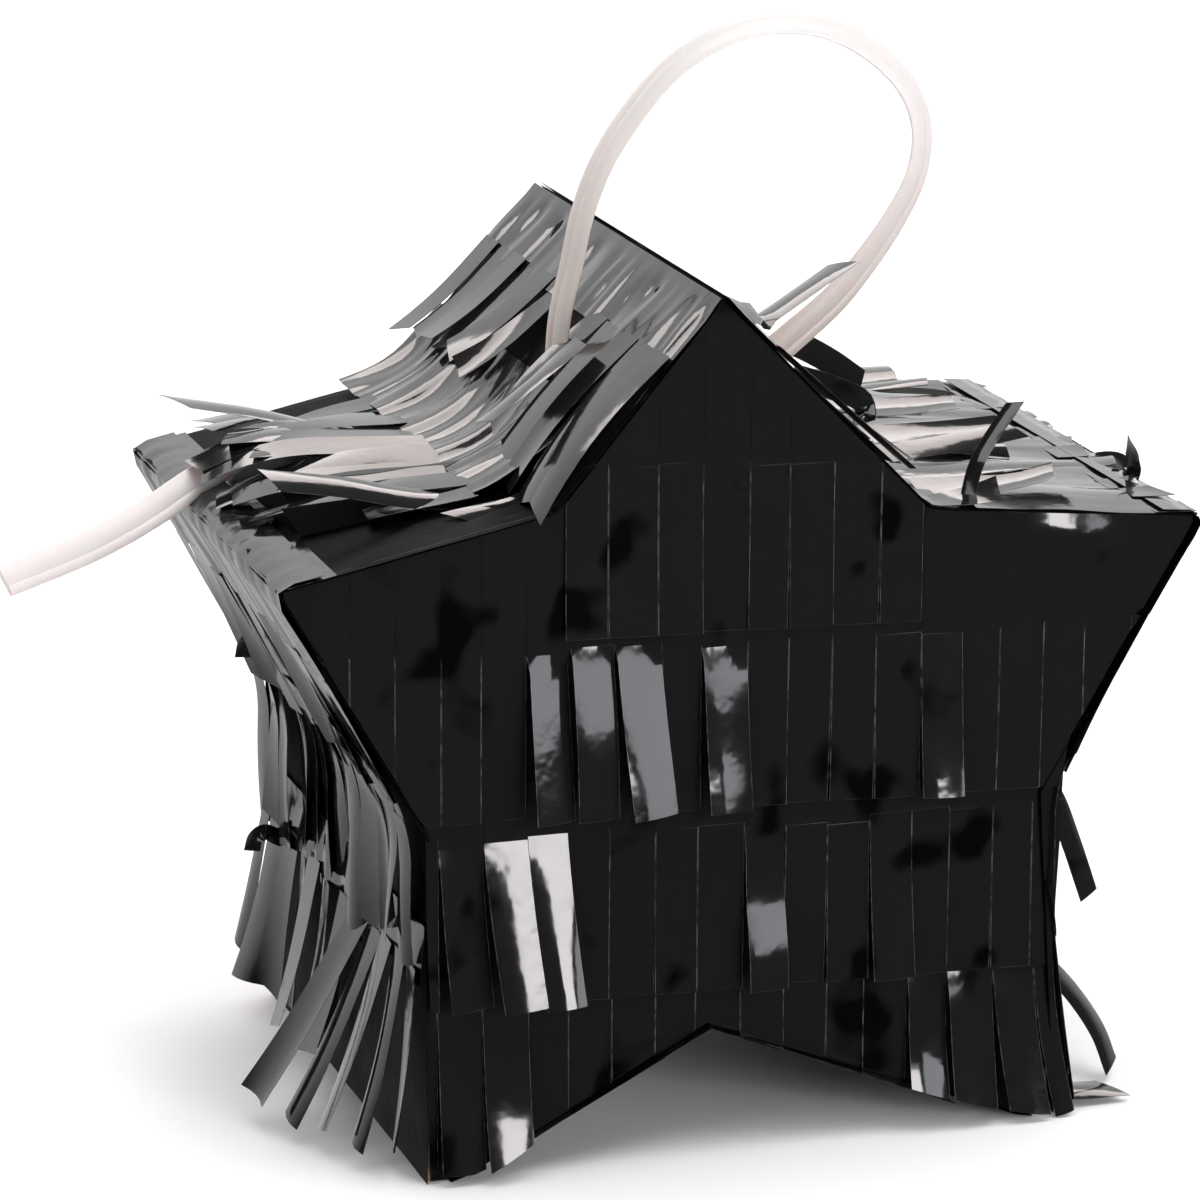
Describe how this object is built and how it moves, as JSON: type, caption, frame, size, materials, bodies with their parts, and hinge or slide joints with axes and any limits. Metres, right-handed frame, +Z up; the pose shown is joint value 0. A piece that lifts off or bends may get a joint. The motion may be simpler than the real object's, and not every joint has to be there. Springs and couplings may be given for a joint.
{
  "type": "star pinata",
  "caption": "Small five-pointed star pinata: card box covered in slit black foil fringe, with a hanging strap and a filling flap at the back.",
  "frame": {"origin": "on the surface the pinata stands on, under the middle of the box", "axes": "+X to the right of the front star face, +Y from the front star face to the back one, +Z up"},
  "size_m": [0.1741, 0.086, 0.1628],
  "materials": {
    "foil": "glossy black plastic foil, slit into strips",
    "card": "plain brown card, matt",
    "tabs": "scored card tabs with dried glue",
    "strap": "translucent white plastic strap, folded lengthwise"
  },
  "bodies": {
    "box": {"back_fringe_arms": "foil", "back_fringe_legs": "foil", "back_fringe_top": "foil", "back_fringe_waist": "foil", "back_glue_tabs": "tabs", "back_panel": "card", "front_fringe_arms": "foil", "front_fringe_legs": "foil", "front_fringe_top": "foil", "front_fringe_waist": "foil", "front_glue_tabs": "tabs", "front_panel": "card", "left_arm_lower_fringe": "foil", "left_arm_lower_wall": "card", "left_arm_top_fringe": "foil", "left_arm_top_wall": "card", "left_knot": "strap", "left_leg_inner_fringe": "foil", "left_leg_inner_wall": "card", "left_leg_lower_fringe": "foil", "left_leg_outer_wall": "card", "left_leg_upper_fringe": "foil", "left_tip_fringe": "foil", "right_arm_lower_fringe": "foil", "right_arm_lower_wall": "card", "right_arm_top_fringe": "foil", "right_arm_top_wall": "card", "right_knot": "strap", "right_leg_inner_fringe": "foil", "right_leg_inner_wall": "card", "right_leg_lower_fringe": "foil", "right_leg_outer_wall": "card", "right_leg_upper_fringe": "foil", "right_tip_fringe": "foil", "strap_inner_run": "strap", "top_left_fringe": "foil", "top_left_wall": "card", "top_right_fringe": "foil", "top_right_wall": "card"},
    "flap": {"fill_flap": "card", "flap_fringe": "foil"},
    "loop": {"hanging_loop": "strap"},
    "tail": {"ribbon_tail": "strap"}
  },
  "joints": [
    {"name": "flap_hinge", "type": "hinge", "parent": "box", "child": "flap", "pos_m": [-0.001, 0.0431, 0.0526], "axis": [1, 0, 0], "range_deg": [0, 105]},
    {"name": "loop_swing", "type": "hinge", "parent": "box", "child": "loop", "pos_m": [-0.003, -0.0099, 0.1114], "axis": [1, 0, 0], "range_deg": [-30, 30], "stiffness_Nm_per_rad": 0.003},
    {"name": "tail_lift", "type": "hinge", "parent": "box", "child": "tail", "pos_m": [-0.0495, 0.0231, 0.0976], "axis": [-0.552, 0.8339, 0], "range_deg": [0, 35]}
  ]
}
